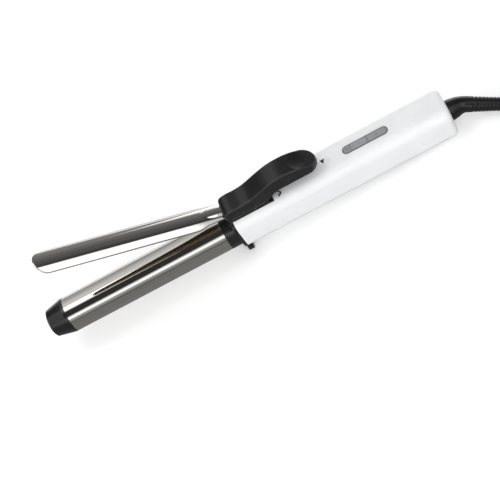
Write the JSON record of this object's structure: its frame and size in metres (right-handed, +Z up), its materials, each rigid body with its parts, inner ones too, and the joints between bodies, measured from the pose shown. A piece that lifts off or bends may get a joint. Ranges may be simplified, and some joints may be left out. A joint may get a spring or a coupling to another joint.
{
  "type": "curling iron",
  "caption": "Clamp curling iron on its stand foot: polished barrel, spring clamp with a thumb lever, cool tip, keys on the handle, swivel cord tied in a hank behind it.",
  "frame": {"origin": "middle of the stand foot's sole, on the surface that the iron rests on", "axes": "+X along the handle towards the cord, level; +Z up, the clamp's side; the iron leans 3.78 degrees, resting on its foot and the rear edge of its handle"},
  "size_m": [0.468, 0.0609, 0.0997],
  "materials": {
    "barrel_metal": "polished plating",
    "clamp_metal": "polished steel sheet",
    "black_plastic": "fine matte moulding",
    "white_plastic": "satin to gloss moulding",
    "inner_plastic": "plain moulding",
    "bare_aluminium": "extruded",
    "ceramic": "glazed",
    "amber_film": "thin film",
    "lead_wire": "silicone sleeve",
    "sensor_glass": "clear resin",
    "steel_hardware": "zinc plated",
    "spring_wire": "black oxide",
    "panel_rim": "satin",
    "key_grey": "satin",
    "switch_black": "moulded",
    "board": "solder mask",
    "capacitor_case": "epoxy",
    "lens": "dark window",
    "brass_contact": "plain",
    "cord_rubber": "semi-gloss",
    "tie_strap": "woven strap"
  },
  "bodies": {
    "handle": {"barrel_tube": "barrel_metal", "cool_tip": "black_plastic", "tip_plug": "inner_plastic", "heat_spreader_upper": "bare_aluminium", "heat_spreader_lower": "bare_aluminium", "ptc_heater": "ceramic", "heater_film": "amber_film", "heater_leads": "lead_wire", "temperature_sensor": "sensor_glass", "barrel_holder": "inner_plastic", "stand_collar": "black_plastic", "collar_screws": "steel_hardware", "handle_sleeve": "white_plastic", "end_cap": "white_plastic", "chassis": "inner_plastic", "hinge_pin": "steel_hardware", "torsion_spring": "spring_wire", "panel_frame": "panel_rim", "tact_switches": "switch_black", "control_board": "board", "board_screws": "steel_hardware", "power_triac": "switch_black", "heat_sink": "bare_aluminium", "film_capacitor": "capacitor_case", "thermal_fuse": "sensor_glass", "status_led": "sensor_glass", "status_lens": "lens", "swivel_housing": "inner_plastic", "contact_brushes": "brass_contact"},
    "clamp": {"clamp_plate": "clamp_metal", "thumb_lever": "black_plastic", "lever_block": "inner_plastic", "lever_screws": "steel_hardware"},
    "power_button": {"power_button": "key_grey"},
    "minus_button": {"minus_button": "key_grey"},
    "plus_button": {"plus_button": "key_grey"},
    "cord_swivel": {"swivel_rotor": "inner_plastic", "contact_rings": "brass_contact", "strain_relief": "cord_rubber", "cord_lead": "cord_rubber", "cord_hank": "cord_rubber", "cord_tie": "tie_strap", "plug_body": "cord_rubber", "plug_pins": "brass_contact"}
  },
  "joints": [
    {"name": "clamp_hinge", "type": "hinge", "parent": "handle", "child": "clamp", "pos_m": [0.02624, 0, 0.03535], "axis": [0, -1, 0], "range_deg": [-8, 21.2], "stiffness_Nm_per_rad": 0.5, "springref_deg": 57.3, "deforming": ["torsion_spring"]},
    {"name": "power_button_press", "type": "slide", "parent": "handle", "child": "power_button", "axis": [-0.0659, 0, -0.9978], "range_m": [0, 0.0005], "stiffness_N_per_m": 2000},
    {"name": "minus_button_press", "type": "slide", "parent": "handle", "child": "minus_button", "axis": [-0.0659, 0, -0.9978], "range_m": [0, 0.0005], "stiffness_N_per_m": 2000},
    {"name": "plus_button_press", "type": "slide", "parent": "handle", "child": "plus_button", "axis": [-0.0659, 0, -0.9978], "range_m": [0, 0.0005], "stiffness_N_per_m": 2000},
    {"name": "cord_swivel_turn", "type": "hinge", "parent": "handle", "child": "cord_swivel", "pos_m": [0.15983, 0, 0.01419], "axis": [0.9978, 0, -0.0659], "continuous": true}
  ]
}
